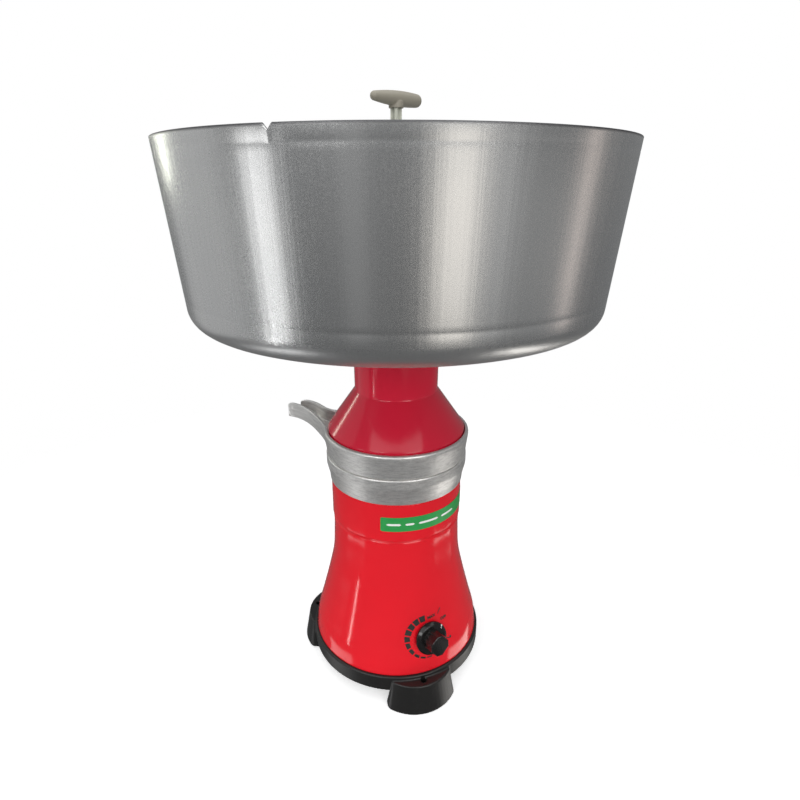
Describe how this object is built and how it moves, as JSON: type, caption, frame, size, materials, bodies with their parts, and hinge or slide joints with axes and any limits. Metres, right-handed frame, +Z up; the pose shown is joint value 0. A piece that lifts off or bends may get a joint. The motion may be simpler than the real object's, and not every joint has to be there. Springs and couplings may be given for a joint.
{
  "type": "cream separator",
  "caption": "Electric table-top milk separator: wide open bowl on a red neck and cone, cast ring troughs with spouts, flared motor housing with a dial, black three-footed base.",
  "frame": {"origin": "on the drum's axis, in the plane that the feet stand on", "axes": "+Z up along the drum's axis, -Y towards the front with the speed dial, +X to the viewer's right"},
  "size_m": [0.3598, 0.3598, 0.532],
  "materials": {
    "housing_paint": "glossy red enamel",
    "chamber_paint": "glossy crimson enamel",
    "black_plastic": "satin moulded black",
    "knob_plastic": "semi-gloss black",
    "handle_plastic": "grey-beige moulded",
    "plug_plastic": "pale translucent moulded",
    "bowl_aluminium": "satin spun",
    "cast_aluminium": "grainy cast",
    "drum_aluminium": "turned",
    "disc_aluminium": "bright pressed",
    "bracket_aluminium": "die cast",
    "drum_nut_brass": "turned",
    "holder_plastic": "white food-grade",
    "rubber": "matt black",
    "steel": "ground",
    "zinc_screws": "zinc plated",
    "laminations": "varnished sheet stack",
    "copper_wire": "varnished copper",
    "carbon": "pressed carbon",
    "control_parts": "green board with parts",
    "pot_metal": "plated can",
    "fan_plastic": "moulded",
    "label_print": "printed green film"
  },
  "bodies": {
    "base": {"base_plate": "black_plastic", "rubber_feet": "rubber", "base_screws": "zinc_screws", "motor_housing": "housing_paint", "label_strip": "label_print", "cable_gland": "rubber", "control_nut": "zinc_screws", "potentiometer": "pot_metal", "speed_board": "control_parts", "upper_bracket": "bracket_aluminium", "lower_bracket": "bracket_aluminium", "motor_bolts": "zinc_screws", "stator_core": "laminations", "field_windings": "copper_wire", "brush_holders": "drum_nut_brass", "carbon_brushes": "carbon", "rubber_mounts": "rubber", "mount_screws": "zinc_screws", "upper_bearing": "steel", "lower_bearing": "steel"},
    "speed_knob": {"control_knob": "knob_plastic", "control_shaft": "zinc_screws"},
    "rotor": {"motor_shaft": "steel", "armature_core": "laminations", "armature_winding": "copper_wire", "commutator": "copper_wire", "cooling_fan": "fan_plastic", "drum_base": "drum_aluminium", "disc_holder": "holder_plastic", "disc_stack": "disc_aluminium", "separating_disc": "drum_aluminium", "drum_cover": "drum_aluminium", "drum_seal": "rubber", "drum_nut": "drum_nut_brass", "cream_screws": "drum_nut_brass"},
    "skim_collector": {"skim_receiver": "cast_aluminium"},
    "cream_collector": {"cream_receiver": "cast_aluminium"},
    "chamber": {"float_chamber": "chamber_paint"},
    "float": {"float_valve": "holder_plastic", "float_pad": "rubber"},
    "bowl": {"milk_bowl": "bowl_aluminium", "locating_ring": "drum_aluminium", "tap_seat": "plug_plastic", "seat_gasket": "rubber"},
    "tap": {"tap_plug": "plug_plastic", "tap_handle": "handle_plastic"}
  },
  "joints": [
    {"name": "speed_dial", "type": "hinge", "parent": "base", "child": "speed_knob", "pos_m": [0.03201, -0.06959, 0.0672], "axis": [-0.4002, 0.8702, -0.2874], "range_deg": [0, 290]},
    {"name": "drum_spin", "type": "hinge", "parent": "base", "child": "rotor", "pos_m": [0, 0, 0.1], "axis": [0, 0, 1], "continuous": true},
    {"name": "skim_receiver_lift", "type": "slide", "parent": "base", "child": "skim_collector", "axis": [0, 0, 1], "range_m": [0, 0.06]},
    {"name": "cream_receiver_lift", "type": "slide", "parent": "skim_collector", "child": "cream_collector", "axis": [0, 0, 1], "range_m": [0, 0.05]},
    {"name": "float_chamber_lift", "type": "slide", "parent": "cream_collector", "child": "chamber", "axis": [0, 0, 1], "range_m": [0, 0.07]},
    {"name": "float_rise", "type": "slide", "parent": "chamber", "child": "float", "axis": [0, 0, 1], "range_m": [0, 0.0085]},
    {"name": "bowl_lift", "type": "slide", "parent": "chamber", "child": "bowl", "axis": [0, 0, 1], "range_m": [0, 0.06]},
    {"name": "tap_turn", "type": "hinge", "parent": "bowl", "child": "tap", "pos_m": [0, 0, 0.4], "axis": [0, 0, 1], "range_deg": [0, 90]}
  ]
}
